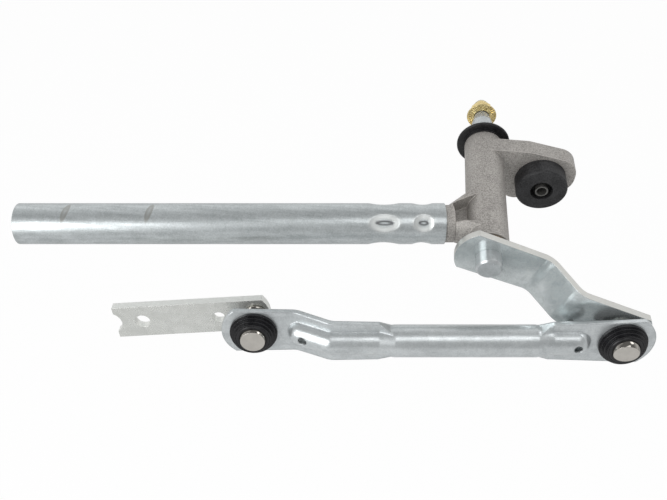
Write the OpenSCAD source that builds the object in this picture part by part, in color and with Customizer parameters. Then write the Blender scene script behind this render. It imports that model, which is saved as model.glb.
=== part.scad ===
// Wiper linkage: a pivot housing on a carrier tube, with the wiper shaft, its crank lever,
// a pressed connecting rod on two ball joints and a drive link.
// The origin is the seat of the body bolt. Y runs along the wiper shaft to the outside, Z is up.

/* [Carrier tube] */
// Outside diameter of the carrier tube
tube_d = 25; // [23:0.5:27]
// Wall of the carrier tube
tube_wall = 1.5; // [1.2:0.1:2]
// Length of the carrier tube
tube_len = 258.1; // [160:0.1:340]
// Distance from the shaft axis to the near end of the tube
tube_start = 26.4; // [25:0.1:32]
// Angle of the tube away from a line square to the shaft
tube_splay = 6.2; // [0:0.1:10]
// Depth of the crimps in the tube
crimp_depth = 1.2; // [0.6:0.1:1.4]
// Length of the long crimps
crimp_long = 18.6; // [14:0.2:19]
// Length of the short crimps
crimp_short = 12.2; // [9:0.2:13]
// Distance from the tube's near end to the long crimps
crimp_far = 36.7; // [34:0.1:38]
// Distance from the tube's near end to the short crimps
crimp_near = 13.5; // [11:0.1:15]

/* [Pivot housing] */
// Outside diameter of the bearing sleeve
sleeve_d = 25; // [24:0.5:30]
// Distance from the tube axis to the inner end of the sleeve
sleeve_in = 20; // [18:0.2:26]
// Distance from the tube axis to the outer end of the sleeve
sleeve_out = 74.5; // [71:0.5:90]
// Length of the spigot inside the tube
spigot_len = 50; // [48:0.5:60]
// Length of each bearing bush
bush_len = 24; // [16:0.5:28]
// Wall of the bearing bushes
bush_wall = 1.5; // [1.2:0.1:2]
// Distance from the tube axis to the near face of the mounting ear
ear_near = 56; // [50:0.5:57]
// Thickness of the mounting ear
ear_t = 12; // [9:0.5:13]
// Radius of the ear's outer corners beside the rubber mount
ear_side_r = 12.8; // [12:0.1:14]
// Thickness of the arm's walls and webs
web_t = 4; // [3:0.1:5]

/* [Body mount] */
// Distance of the body bolt from the shaft axis across the shaft
mount_x = 38.5; // [36:0.5:48]
// Distance of the body bolt below the shaft axis
mount_drop = 9.6; // [6:0.2:14]
// Diameter of the rubber mount
rubber_d = 33.2; // [30:0.2:36]
// How far the rubber stands out on the crank side of the ear
rubber_near = 12; // [8:0.5:14]
// How far the rubber stands out on the body side of the ear
rubber_far = 8; // [5:0.5:9]
// Diameter of the rubber mount's neck in the ear
rubber_neck_d = 21; // [19:0.5:22]
// Diameter of the recess round the spacer sleeve
recess_d = 14.5; // [12:0.5:17]
// Depth of that recess
recess_depth = 7; // [4:0.5:9]
// Diameter of the body bolt's hole
bolt_d = 6.4; // [5.3:0.1:6.6]
// Wall of the spacer sleeve
spacer_wall = 1; // [0.8:0.1:1.6]
// How far the spacer sleeve stands past the rubber on the crank side
spacer_near = 0.3; // [0.1:0.1:4]
// How far the spacer sleeve stands past the rubber at the bolt's seat
spacer_far = 1; // [0.5:0.1:2]

/* [Wiper shaft] */
// Diameter of the wiper shaft in its bushes
shaft_d = 14; // [12:0.1:14.4]
// Diameter of the shoulder behind the crank lever
shoulder_d = 19; // [17:0.2:22]
// How far the shaft's riveted stub stands out past the crank lever
shaft_stub = 9; // [4:0.2:12]
// Diameter of that stub
stub_d = 15.6; // [15:0.1:18]
// How far the shaft stands out of the seal cap below its cone
shaft_reach = 20.4; // [12:0.2:30]
// Diameter of the wiper arm's cone at its thick end
cone_d = 13.1; // [11:0.1:13.8]
// Length of the wiper arm's cone
cone_len = 9; // [7:0.2:14]
// Diameter of the wiper arm's thread
thread_d = 8; // [6:0.5:8]
// Length of the thread past the cone
thread_len = 15.5; // [14:0.5:22]
// Width of the nut across its flats
nut_across = 13; // [13:0.5:16]
// Diameter of the nut's flange
nut_flange_d = 20.5; // [19:0.5:24]
// Diameter of the rubber seal cap
cap_d = 35; // [32:0.2:40]
// Thickness of the rubber seal cap
cap_t = 2.2; // [2:0.1:3]
// Height of the lip below the seal cap
cap_lip = 1.9; // [1.4:0.1:2.2]

/* [Crank lever] */
// Distance between the shaft axis and the crank ball
crank_arm = 86; // [76:0.5:110]
// Angle of the crank lever below a level line at rest
crank_angle = 20; // [0:0.2:40]
// Thickness of the crank lever
lever_t = 4.3; // [3.5:0.1:6]
// Width of the lever at the shaft
lever_root_w = 29; // [26:0.5:34]
// Width of the lever at the ball
lever_tip_w = 26; // [22:0.5:28]
// Radius of the lever's end round the shaft
lever_root_r = 20; // [18:0.5:24]
// Radius of the lever's end round the ball
lever_tip_r = 17; // [15:0.2:19]
// Offset of the joggle in the lever
joggle = 19.2; // [13:0.2:24]
// Distance from the shaft axis to the start of the joggle
joggle_start = 29.1; // [26:0.1:32]
// Angle of the joggle
joggle_angle = 47.5; // [42:0.5:60]
// Inside radius of the lever's bends
lever_bend_r = 9; // [5:0.5:11]

/* [Ball joints] */
// Diameter of the balls
ball_d = 16; // [15:0.1:16.4]
// Distance from the ball's centre to its flat end
ball_flat = 3.7; // [3.2:0.1:5.4]
// Distance from the crank ball's centre to the lever
crank_reach = 15.4; // [15:0.1:20]
// Distance from the drive ball's centre to the drive link
drive_reach = 20.2; // [16:0.1:24]
// Diameter of the stud's neck
neck_d = 9; // [7.5:0.1:9.4]
// Diameter of the stud's collar
collar_d = 16; // [14:0.2:17]
// Diameter of the stud's riveted shank
shank_d = 10; // [8:0.2:11]
// Diameter of the socket in the rod's flattened end
socket_d = 22; // [21:0.1:23]
// Outside diameter of the socket's seal
seal_d = 28; // [26:0.2:29]

/* [Connecting rod] */
// Distance between the two balls along the rod
rod_len = 214; // [190:1:260]
// Diameter of the rod's tube
rod_d = 19; // [18:0.2:21]
// Wall of the rod's tube
rod_wall = 1.5; // [1.2:0.1:1.8]
// Width of the flattened ends at the balls
blade_w = 30; // [29:0.2:33]
// Width of the flattened ends beside the tube
blade_neck_w = 26.6; // [25:0.2:29]
// End radius of the flattened ends
blade_r = 19; // [17:0.2:22]
// Distance from the ball's centre back to the middle of the flattened end
blade_back = 6.9; // [6.4:0.1:7.2]
// Set of the left end behind the tube's axis
rod_set = 9.5; // [7:0.1:12]
// Lean of the rod about its own length, as its ball joints let it lie
rod_roll = 12; // [0:0.5:13]
// Radius of the ridges pressed up on the flattened ends
ridge_r = 8; // [7:0.1:8.6]
// Diameter of the drain holes in the ridges
drain_d = 5; // [4:0.2:6]

/* [Drive link] */
// Distance from the drive ball to the notched end of the link
link_len = 86.3; // [84:0.1:110]
// Width of the drive link
link_w = 22.7; // [20:0.1:24]
// Thickness of the drive link
link_t = 5; // [4:0.1:6]
// Radius of the link's shallow round end behind its ball stud
link_end_r = 18; // [14:0.5:24]
// How far that end reaches past the ball stud
link_over = 8.8; // [8:0.1:12]
// Angle of the link to the rod at rest
link_turn = 4.1; // [0:0.1:20]
// Distance from the drive ball to the outer hole
outer_hole_at = 69.6; // [60:0.1:71]
// Diameter of the outer hole
outer_hole_d = 9.4; // [6:0.1:10]
// Distance from the drive ball to the inner hole
inner_hole_at = 22.7; // [20:0.1:32]
// Diameter of the inner hole
inner_hole_d = 7.7; // [6:0.1:9]
// Radius of the notch in the link's free end
notch_r = 7.8; // [6:0.1:9]
// Depth of that notch
notch_depth = 4; // [3:0.1:6]

/* [Hidden] */
$fn = 96;

// Clearances: a pressed seat, a running fit, the play of a washer
seat_gap = 0.02;
run_gap = 0.03;
washer_gap = 0.1;
// Length added to a cut so that it passes its face
past = 1;
// An arc is this much larger than the one that only touches its neighbour lines
bend_ease = 0.02;

// Colours
zinc = [0.74, 0.76, 0.77];
cast_metal = [0.58, 0.56, 0.54];
black_rubber = [0.10, 0.10, 0.11];
nickel = [0.80, 0.77, 0.72];
yellow_zinc = [0.80, 0.64, 0.25];
bronze = [0.62, 0.46, 0.28];

// Carrier tube and spigot
tube_r = tube_d / 2;
tube_bore_r = tube_r - tube_wall;
// The tube's near end is opened out by this much for the spigot
socket_ease = 0.35;
socket_bore_r = tube_bore_r + socket_ease;
spigot_r = socket_bore_r - seat_gap;
socket_len = spigot_len + 1;
// The first of the four crimps faces up and to the crank side
crimp_turn = 47;
crimp_slot_w = 2.6;
crimp_slot_depth = 0.5;

// Bearing sleeve
sleeve_r = sleeve_d / 2;
shaft_r = shaft_d / 2;
bush_bore_r = shaft_r + run_gap;
bush_r = bush_bore_r + bush_wall;
bush_inset = 0.2;
seal_pocket = 4.5;
seal_pocket_r = bush_r + 1.4;
relief_r = bush_r + 0.5;
flange_len = 5.4;
flange_r = spigot_r + 0.1;
arm_lead = 1.6;
arm_step = 0.4;
arm_lean = 10;
arm_flare = 27;

// Stack along the shaft, from the sleeve's inner end to the crank side
washer_t = 1.4;
shoulder_t = 3;
shoulder_at = sleeve_in + washer_gap + washer_t;
lever_back = shoulder_at + shoulder_t;
lever_front = lever_back + lever_t;
stub_end = lever_front + shaft_stub;
ball_plane = lever_front + joggle + crank_reach;

// Stack along the shaft, from the sleeve's outer end to the tip
upper_washer_t = 1;
ring_t = 1.2;
ring_gap = 0.05;
cap_under = sleeve_out + cap_lip;
cap_top = cap_under + cap_t;
cap_neck = cap_top + 0.8;
upper_washer_at = sleeve_out + washer_gap;
ring_at = upper_washer_at + upper_washer_t + ring_gap;
ring_groove_r = shaft_r - 0.8;
cap_cavity = ring_at + ring_t + 0.5;
cone_at = cap_top + shaft_reach;
thread_at = cone_at + cone_len;
tip_at = thread_at + thread_len;
thread_r = thread_d / 2;
cone_end_r = thread_r + 0.5;
nut_at = thread_at - 0.4;
nut_flange_t = 2.2;
nut_hex_h = 9.4;
nut_crown_h = 2.6;

// Body mount, from the crank side to the body side
rubber_r = rubber_d / 2;
neck_r = rubber_neck_d / 2;
ear_far = ear_near + ear_t;
rubber_start = ear_near - rubber_near;
rubber_end = ear_far + rubber_far;
spacer_r = bolt_d / 2 + spacer_wall;
spacer_start = rubber_start - spacer_near;
spacer_end = rubber_end + spacer_far;
// The ear's corners, each a circle placed from the body bolt
ear_top_r = 10.2;
ear_top_back = 11.5;
ear_top_up = 11.6;
ear_side_out = 9.4;
ear_side_up = 4.6;
ear_side_low = 3;
ear_corner_r = 9.7;
ear_corner_back = 14.5;
ear_corner_down = 8.4;

// Ball joint
ball_r = ball_d / 2;
cavity_r = ball_r + 0.05;
socket_r = socket_d / 2;
socket_front_r = socket_r - 1.2;
seal_r = seal_d / 2;
collar_t = 2;
rivet_h = 2.5;
rivet_r = shank_d / 2 + 2;
mouth = 1.8;
blade_t = 2 * rod_wall;
blade_near = blade_back - blade_t / 2;
blade_far = blade_back + blade_t / 2;
snap_t = 1.8;
snap_r = socket_r + 2;

// Rod, measured from each ball towards the middle
rod_r = rod_d / 2;
neck_len = 9;
right_tube = 50;
right_nose = 18.5;
right_drain = 27;
left_tube = 82;
left_nose = 20;
left_drain = 28.8;
set_start = 48;
set_angle = 25;
set_bend_r = 10;
set_corner = set_start - (set_bend_r + blade_t / 2) * tan(set_angle / 2);

// Places

// The wiper shaft's axis where it passes the tube's axis
module at_shaft() {
    translate([-mount_x, -spacer_end, mount_drop])
        children();
}

// The crank lever's own frame: X along the lever, origin on the tube's axis
module at_crank() {
    at_shaft()
        rotate([0, crank_angle, 0])
            children();
}

// The tube's own frame: X along the tube to its open end, Y to the crank side
module at_tube() {
    at_shaft()
        rotate([0, 0, 180 + tube_splay])
            children();
}

// The rod's own frame: origin in the crank ball, X along the rod past the ball
module at_rod() {
    at_crank()
        translate([crank_arm, -ball_plane, 0])
            rotate([0, -crank_angle, 0])
                rotate([0, 0, tube_splay])
                    rotate([-rod_roll, 0, 0])
                        children();
}

// The drive ball's frame on the rod's left end
module at_drive() {
    at_rod()
        translate([-rod_len, rod_set, 0])
            children();
}

// Shapes

// Round bar along Y between two places
module round_y(r, y0, y1) {
    translate([0, y0, 0])
        rotate([-90, 0, 0])
            cylinder(r = r, h = y1 - y0);
}

// Round bar along X between two places
module round_x(r, x0, x1) {
    translate([x0, 0, 0])
        rotate([0, 90, 0])
            cylinder(r = r, h = x1 - x0);
}

// Plain ring along Y
module ring_y(r_out, r_in, y0, y1) {
    difference() {
        round_y(r_out, y0, y1);
        round_y(r_in, y0 - past, y1 + past);
    }
}

// Turned shape round Y from a half section of radius and place
module turned_y() {
    rotate([-90, 0, 0])
        rotate_extrude()
            children();
}

// Plate between two places along Y from a plan of X and Z
module plate_y(y0, y1) {
    translate([0, y1, 0])
        rotate([90, 0, 0])
            linear_extrude(y1 - y0)
                children();
}

// Point at a radius and an angle from a centre
function off(p, r, a) = p + r * [cos(a), sin(a)];

// Plan of two circles and their outer tangents, which lie inside the circles by ease
module tangent_plan(p0, r0, p1, r1, ease = 0) {
    d = p1 - p0;
    base = atan2(d.y, d.x);
    swing = acos((r0 - r1) / norm(d));
    translate(p0)
        circle(r0);
    translate(p1)
        circle(r1);
    polygon([
        off(p0, r0 - ease, base + swing), off(p0, r0 - ease, base - swing),
        off(p1, r1 - ease, base - swing), off(p1, r1 - ease, base + swing)
    ]);
}

// Plan of a bar whose end arcs are wider than the bar, so that they meet its sides in corners
module bar_plan(x0, r0, w0, x1, r1, w1) {
    slope = (w1 - w0) / (x1 - x0) / 2;
    left = x0 - r0;
    right = x1 + r1;
    intersection() {
        polygon([
            [left, w0 / 2 - slope * r0], [left, -w0 / 2 + slope * r0],
            [right, -w1 / 2 - slope * r1], [right, w1 / 2 + slope * r1]
        ]);
        union() {
            translate([x0, 0])
                circle(r0);
            translate([x1, 0])
                circle(r1);
            translate([x0, -w0])
                square([x1 - x0, 2 * w0]);
        }
    }
}

// Corner between an arc and the two lines that touch it, drawn out past the corner by depth
module bend_corner(centre, r, a0, a1, depth) {
    mid = (a0 + a1) / 2;
    difference() {
        polygon([off(centre, r, a0), off(centre, r / cos(mid - a0) + depth, mid), off(centre, r, a1)]);
        translate(centre)
            circle(r + bend_ease);
    }
}

// Side view of a joggled strip: flat from x0 at height 0 to t, up by rise, flat on to x1
module joggle_side(x0, start, x1, t, rise, angle, r_in) {
    mid_r = r_in + t / 2;
    slant = (rise - 2 * mid_r * (1 - cos(angle))) / sin(angle);
    across = mid_r * [sin(angle), -cos(angle)];
    first = [start, t + r_in];
    second = first + 2 * across + slant * [cos(angle), sin(angle)];
    near = r_in * tan(angle / 2);
    far = (r_in + t) * tan(angle / 2);
    difference() {
        polygon([
            [x0, 0], [start + far, 0], [second.x - near, rise], [x1, rise],
            [x1, rise + t], [second.x - far, rise + t], [start + near, t], [x0, t]
        ]);
        bend_corner(first, r_in + t, -90, -90 + angle, t);
        bend_corner(second, r_in + t, 90, 90 + angle, t);
    }
    bend_corner(first, r_in, -90, -90 + angle, t / 2);
    bend_corner(second, r_in, 90, 90 + angle, t / 2);
}

// One ring of four crimps, each a saddle of the given length bitten into a round bar
module crimp_bites(r, at, len) {
    saddle_r = (len * len / 4 + crimp_depth * crimp_depth) / (2 * crimp_depth);
    for (quarter = [0:3])
        rotate([90 * quarter + crimp_turn, 0, 0])
            translate([at, r + saddle_r - crimp_depth, 0])
                cylinder(r = saddle_r, h = 4 * r, center = true);
}

// Round bar along the tube's near end with both rings of crimps
module crimped_bar(r, x0, x1) {
    difference() {
        round_x(r, x0, x1);
        crimp_bites(r, tube_start + crimp_far, crimp_long);
        crimp_bites(r, tube_start + crimp_near, crimp_short);
    }
}

// The narrow slots that the crimping tool leaves at the bottom of each crimp
module crimp_slots(at, len) {
    half = (len - crimp_slot_w) / 2;
    for (quarter = [0:3])
        rotate([90 * quarter + crimp_turn, 0, 0])
            translate([at, tube_r + past, 0])
                rotate([90, 0, 0])
                    linear_extrude(past + crimp_depth + crimp_slot_depth)
                        tangent_plan([-half, 0], crimp_slot_w / 2, [half, 0], crimp_slot_w / 2);
}

// Sub-parts of the carrier

module carrier_tube() {
    far_end = tube_start + tube_len;
    socket_end = tube_start + socket_len;
    color(zinc)
        at_tube()
            difference() {
                crimped_bar(tube_r, tube_start, far_end);
                crimped_bar(socket_bore_r, tube_start - past, socket_end);
                round_x(tube_bore_r, socket_end - past, far_end + past);
                crimp_slots(tube_start + crimp_far, crimp_long * 0.56);
                crimp_slots(tube_start + crimp_near, crimp_short * 0.46);
            }
}

// Plan of the mounting ear: from the sleeve along the top, down the outer side, back below
module ear_plan() {
    mount = [mount_x, -mount_drop];
    top = mount + [-ear_top_back, ear_top_up];
    side = mount + [ear_side_out, ear_side_up];
    low = side - [0, ear_side_low];
    corner = mount - [ear_corner_back, ear_corner_down];
    tangent_plan([0, 0], sleeve_r, top, ear_top_r, bend_ease);
    tangent_plan(top, ear_top_r, side, ear_side_r, bend_ease);
    tangent_plan(side, ear_side_r, low, ear_side_r, bend_ease);
    tangent_plan(low, ear_side_r, corner, ear_corner_r, bend_ease);
    tangent_plan(corner, ear_corner_r, [0, 0], sleeve_r, bend_ease);
    polygon([[0, 0], top, side, low, corner]);
}

// Slab between two heights from a plan along the tube and across it
module slab_z(z0, z1) {
    translate([0, 0, z0])
        linear_extrude(z1 - z0)
            children();
}

// The arm's outside: a cone that leaves the spigot's flange and leans out along the shaft
module arm_cone() {
    reach = tube_start - flange_len + arm_lead;
    translate([reach, 0, 0])
        rotate([0, 0, arm_lean])
            rotate([0, -90, 0])
                cylinder(r1 = flange_r - arm_step, r2 = flange_r - arm_step + reach * tan(arm_flare), h = reach);
}

// Cast arm between sleeve and spigot: two walls along the cone, a web between them, pockets beside the web
module housing_arm() {
    root = tube_start - flange_len;
    deck = sleeve_r * 0.87;
    round_x(flange_r, root, tube_start);
    difference() {
        intersection() {
            arm_cone();
            slab_z(-deck, deck)
                translate([0, -3 * sleeve_r])
                    square([tube_start, 6 * sleeve_r]);
        }
        for (side = [0, 1])
            mirror([0, 0, side])
                slab_z(web_t / 2, sleeve_r)
                    polygon([
                        [root + arm_step, flange_r - 1.1 * web_t], [-past, flange_r - 0.6 * web_t],
                        [-past, -sleeve_r * 1.5], [root + arm_step, web_t - flange_r]
                    ]);
    }
}

module pivot_housing() {
    seat_r = bush_r + seat_gap;
    pocket_at = sleeve_out - seal_pocket;
    lower_end = bush_inset + bush_len - sleeve_in;
    color(cast_metal)
        difference() {
            union() {
                at_shaft() {
                    round_y(sleeve_r, -sleeve_in, sleeve_out);
                    plate_y(ear_near, ear_far)
                        ear_plan();
                }
                at_tube() {
                    housing_arm();
                    crimped_bar(spigot_r, tube_start - past, tube_start + spigot_len);
                }
            }
            at_shaft() {
                round_y(seat_r, -sleeve_in - past, lower_end);
                round_y(relief_r, lower_end, pocket_at - bush_len);
                round_y(seat_r, pocket_at - bush_len, pocket_at);
                round_y(seal_pocket_r, pocket_at, sleeve_out + past);
                translate([mount_x, 0, -mount_drop])
                    round_y(neck_r + seat_gap, ear_near - past, ear_far + past);
            }
        }
}

module lower_shaft_bush() {
    color(bronze)
        at_shaft()
            ring_y(bush_r, bush_bore_r, bush_inset - sleeve_in, bush_inset + bush_len - sleeve_in);
}

module upper_shaft_bush() {
    top = sleeve_out - seal_pocket;
    color(bronze)
        at_shaft()
            ring_y(bush_r, bush_bore_r, top - bush_len, top);
}

module shaft_seal_ring() {
    room = seal_pocket_r - shaft_r;
    color(black_rubber)
        at_shaft()
            translate([0, sleeve_out - seal_pocket + room / 2, 0])
                turned_y()
                    translate([shaft_r + room / 2 + run_gap / 2, 0])
                        circle(room / 2 - run_gap / 2);
}

module shaft_seal_cap() {
    lip_out = sleeve_r + 0.9;
    lip_in = sleeve_r - 1.3;
    wipe_r = shaft_r + run_gap;
    edge = 0.6;
    color(black_rubber)
        at_shaft()
            turned_y()
                polygon([
                    [lip_in, sleeve_out], [lip_out, sleeve_out], [lip_out, cap_under],
                    [cap_d / 2 - edge, cap_under], [cap_d / 2, cap_under + edge],
                    [cap_d / 2, cap_top - edge], [cap_d / 2 - edge, cap_top],
                    [shaft_r + 2.4, cap_top], [shaft_r + 2, cap_neck],
                    [wipe_r, cap_neck], [wipe_r, cap_cavity], [lip_in, cap_cavity]
                ]);
}

module rubber_mount() {
    edge = 1.2;
    lip_r = neck_r + 3.6;
    nose_r = neck_r - 0.5;
    recess_r = recess_d / 2;
    hole_r = spacer_r + seat_gap;
    color(black_rubber)
        at_shaft()
            translate([mount_x, 0, -mount_drop])
                turned_y()
                    polygon([
                        [recess_r, rubber_start], [rubber_r - edge, rubber_start],
                        [rubber_r, rubber_start + edge], [rubber_r, ear_near],
                        [neck_r, ear_near], [neck_r, ear_far], [lip_r, ear_far],
                        [lip_r, ear_far + edge], [nose_r, rubber_end],
                        [hole_r, rubber_end], [hole_r, rubber_start + recess_depth],
                        [recess_r, rubber_start + recess_depth]
                    ]);
}

module mount_sleeve() {
    color(zinc)
        at_shaft()
            translate([mount_x, 0, -mount_drop])
                ring_y(spacer_r, bolt_d / 2, spacer_start, spacer_end);
}

// Sub-parts of the crank

module wiper_shaft() {
    edge = 1.2;
    stub_r = stub_d / 2;
    groove_end = ring_at + ring_t + ring_gap;
    color(zinc)
        at_crank()
            turned_y()
                polygon([
                    [0, -stub_end], [stub_r - edge, -stub_end], [stub_r, edge - stub_end],
                    [stub_r, -lever_front], [shaft_r, -lever_front],
                    [shaft_r, -lever_back], [shoulder_d / 2, -lever_back],
                    [shoulder_d / 2, -shoulder_at], [shaft_r, -shoulder_at],
                    [shaft_r, ring_at - ring_gap], [ring_groove_r, ring_at - ring_gap],
                    [ring_groove_r, groove_end], [shaft_r, groove_end],
                    [shaft_r, cone_at], [cone_d / 2, cone_at], [cone_end_r, thread_at],
                    [thread_r, thread_at], [thread_r, tip_at - edge], [thread_r - edge, tip_at],
                    [0, tip_at]
                ]);
}

module crank_lever() {
    lever_end = crank_arm + lever_tip_r + past;
    color(zinc)
        at_crank()
            difference() {
                intersection() {
                    plate_y(-ball_plane, 0)
                        bar_plan(0, lever_root_r, lever_root_w, crank_arm, lever_tip_r, lever_tip_w);
                    translate([0, -lever_back, 0])
                        mirror([0, 1, 0])
                            linear_extrude(3 * lever_root_r, center = true)
                                joggle_side(-lever_root_r - past, joggle_start, lever_end, lever_t, joggle,
                                            joggle_angle, lever_bend_r);
                }
                round_y(shaft_r + seat_gap, -ball_plane, 0);
                translate([crank_arm, 0, 0])
                    round_y(shank_d / 2 + seat_gap, -ball_plane, 0);
            }
}

module lower_thrust_washer() {
    color(bronze)
        at_crank()
            ring_y(sleeve_r - 1.2, shaft_r + seat_gap, -shoulder_at, washer_t - shoulder_at);
}

module upper_thrust_washer() {
    color(zinc)
        at_crank()
            ring_y(sleeve_r - 1.8, shaft_r + seat_gap, upper_washer_at, upper_washer_at + upper_washer_t);
}

module shaft_retaining_ring() {
    gap_w = shaft_r;
    color(zinc)
        at_crank()
            difference() {
                ring_y(shaft_r + 2, ring_groove_r + seat_gap, ring_at, ring_at + ring_t);
                translate([-gap_w / 2, ring_at - past, 0])
                    cube([gap_w, ring_t + 2 * past, 2 * sleeve_r]);
            }
}

module wiper_arm_nut() {
    rim_r = nut_flange_d / 2;
    corner_r = nut_across / 2 / cos(30);
    hex_at = nut_at + nut_flange_t;
    hex_end = nut_at + nut_hex_h;
    top = hex_end + nut_crown_h;
    crown_r = nut_across / 2 - 0.3;
    color(yellow_zinc)
        at_crank()
            difference() {
                union() {
                    turned_y()
                        polygon([
                            [0, nut_at], [rim_r - 0.3, nut_at], [rim_r, nut_at + 0.5],
                            [rim_r, nut_at + 1.1], [corner_r, hex_at], [0, hex_at]
                        ]);
                    intersection() {
                        translate([0, nut_at + past, 0])
                            rotate([-90, 0, 0])
                                cylinder(r = corner_r, h = nut_hex_h - past, $fn = 6);
                        turned_y()
                            polygon([
                                [0, nut_at], [corner_r + past, nut_at], [corner_r + past, hex_end - 1.6],
                                [crown_r, hex_end], [0, hex_end]
                            ]);
                    }
                    turned_y()
                        polygon([
                            [0, hex_at], [crown_r, hex_at], [crown_r, hex_end],
                            [crown_r - 0.7, top], [0, top]
                        ]);
                }
                round_y(thread_r + seat_gap, nut_at - past, top + past);
                turned_y()
                    polygon([
                        [0, nut_at - past], [thread_r + 1.5 + past, nut_at - past],
                        [thread_r, nut_at + 1.5], [0, nut_at + 1.5]
                    ]);
            }
}

// Ball stud along Y, from its flat end through the plate that carries it
module ball_stud(reach, plate_t) {
    back = reach + plate_t;
    front = reach - collar_t;
    collar_r = collar_d / 2;
    turned_y() {
        intersection() {
            circle(ball_r);
            translate([0, -ball_flat])
                square([ball_r + past, 2 * ball_r]);
        }
        polygon([
            [0, 0], [neck_d / 2, 0], [neck_d / 2, front], [collar_r - 0.5, front],
            [collar_r, front + 0.5], [collar_r, reach], [shank_d / 2, reach], [shank_d / 2, back],
            [rivet_r, back], [rivet_r, back + rivet_h - 1], [rivet_r - 1, back + rivet_h],
            [0, back + rivet_h]
        ]);
    }
}

module crank_ball_stud() {
    color(nickel)
        at_crank()
            translate([crank_arm, -ball_plane, 0])
                ball_stud(crank_reach, lever_t);
}

// Ball socket: a barrel through the rod's flattened end, with a snap rim behind it
module ball_socket() {
    back = blade_far + snap_t;
    throat_r = ball_r - 1.4;
    color(black_rubber)
        turned_y()
            difference() {
                polygon([
                    [1, -mouth], [socket_front_r - 0.6, -mouth], [socket_front_r, 0.6 - mouth],
                    [socket_front_r, blade_near], [socket_r, blade_near], [socket_r, blade_far],
                    [snap_r, blade_far], [snap_r - 0.8, back], [1, back]
                ]);
                circle(cavity_r);
                polygon([
                    [0, 0], [throat_r - 1, 0], [throat_r + 1.4, back], [throat_r + 1.4, back + past],
                    [0, back + past]
                ]);
            }
}

// Ringed rubber seal round the front of the socket, on the rod's flattened end
module socket_seal() {
    bore = socket_front_r + seat_gap;
    step = (blade_near + mouth) / 4;
    inward = (seal_r - socket_front_r) / 4;
    color(black_rubber)
        turned_y()
            polygon([
                [bore, blade_near], [seal_r, blade_near], [seal_r, blade_near - step],
                [seal_r - inward, blade_near - step], [seal_r - inward * 0.7, blade_near - 2 * step],
                [seal_r - inward * 2, blade_near - 2 * step], [seal_r - inward * 1.8, blade_near - 3 * step],
                [seal_r - inward * 3.2, blade_near - 3 * step], [seal_r - inward * 3.1, 0.5 - mouth],
                [bore, 0.5 - mouth]
            ]);
}

module crank_ball_socket() {
    at_rod()
        ball_socket();
}

module crank_socket_seal() {
    at_rod()
        socket_seal();
}

module drive_ball_socket() {
    at_drive()
        ball_socket();
}

module drive_socket_seal() {
    at_drive()
        socket_seal();
}

// Sub-parts of the rod

// Round bar with a round end, between two points of the rod's side view
module bar_to(p0, p1, r) {
    d = p1 - p0;
    translate([p0.x, p0.y, 0])
        rotate([0, 0, atan2(d.y, d.x)]) {
            round_x(r, 0, norm(d));
            translate([norm(d), 0, 0])
                sphere(r);
        }
}

// Neck from the round tube down to the ridges, with its thick end at x0
module ridge_neck(x0, inset) {
    translate([x0, 0, 0])
        rotate([0, 90, 0])
            cylinder(r1 = rod_r - inset, r2 = ridge_r - inset, h = neck_len);
}

// The rod's round body, thinned by inset: tube, necks and the ridges pressed up on both faces
module rod_body(inset) {
    ridge = ridge_r - inset;
    bend_in = [rod_len - set_corner, 0];
    fall = (set_corner - left_nose - ridge_r) * tan(set_angle);
    round_x(rod_r - inset, left_tube - rod_len, -right_tube);
    ridge_neck(-right_tube, inset);
    bar_to([neck_len - right_tube, 0], [-right_nose - ridge_r, 0], ridge);
    mirror([1, 0, 0]) {
        ridge_neck(rod_len - left_tube, inset);
        bar_to([rod_len - left_tube + neck_len, 0], bend_in, ridge);
        bar_to(bend_in, [rod_len - left_nose - ridge_r, fall], ridge);
    }
}

// Where a flattened end grows out of the tube: wider and thinner over the length of the neck
module blade_root(x0) {
    x1 = x0 + neck_len;
    intersection() {
        plate_y(-rod_r, rod_r)
            polygon([
                [x0, rod_r * 0.8], [x0, -rod_r * 0.8], [x1, -blade_neck_w / 2],
                [x1 + past, -blade_neck_w / 2], [x1 + past, blade_neck_w / 2], [x1, blade_neck_w / 2]
            ]);
        linear_extrude(2 * blade_w, center = true)
            polygon([
                [x0, rod_r / 2], [x0, -rod_r / 2], [x1, -blade_t / 2], [x1 + past, -blade_t / 2],
                [x1 + past, blade_t / 2], [x1, blade_t / 2]
            ]);
    }
}

// Plan of a flattened end: even beside the tube, then wider to the ball at x1, with a round end
module blade_plan(x0, x1) {
    even = x0 + 2 * past;
    end = x1 + blade_r;
    half = blade_neck_w / 2;
    end_half = half + (blade_w / 2 - half) * (end - even) / (x1 - even);
    intersection() {
        polygon([
            [x0, half], [x0, -half], [even, -half], [end, -end_half], [end, end_half], [even, half]
        ]);
        union() {
            translate([x1, 0])
                circle(blade_r);
            translate([x0 - past, -blade_w])
                square([x1 - x0 + past, 2 * blade_w]);
        }
    }
}

// Right flattened end in line with the tube
module right_blade() {
    plate_y(-blade_t / 2, blade_t / 2)
        blade_plan(neck_len - right_tube, 0);
}

// Left flattened end, seen from the crank ball along the rod: straight, then set back
module left_blade() {
    start = rod_len - left_tube + neck_len;
    intersection() {
        plate_y(-rod_r, rod_r + rod_set)
            blade_plan(start, rod_len);
        translate([0, -blade_t / 2, 0])
            linear_extrude(2 * blade_w, center = true)
                joggle_side(start, rod_len - set_start, rod_len + blade_r + past, blade_t, rod_set,
                            set_angle, set_bend_r);
    }
}

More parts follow.
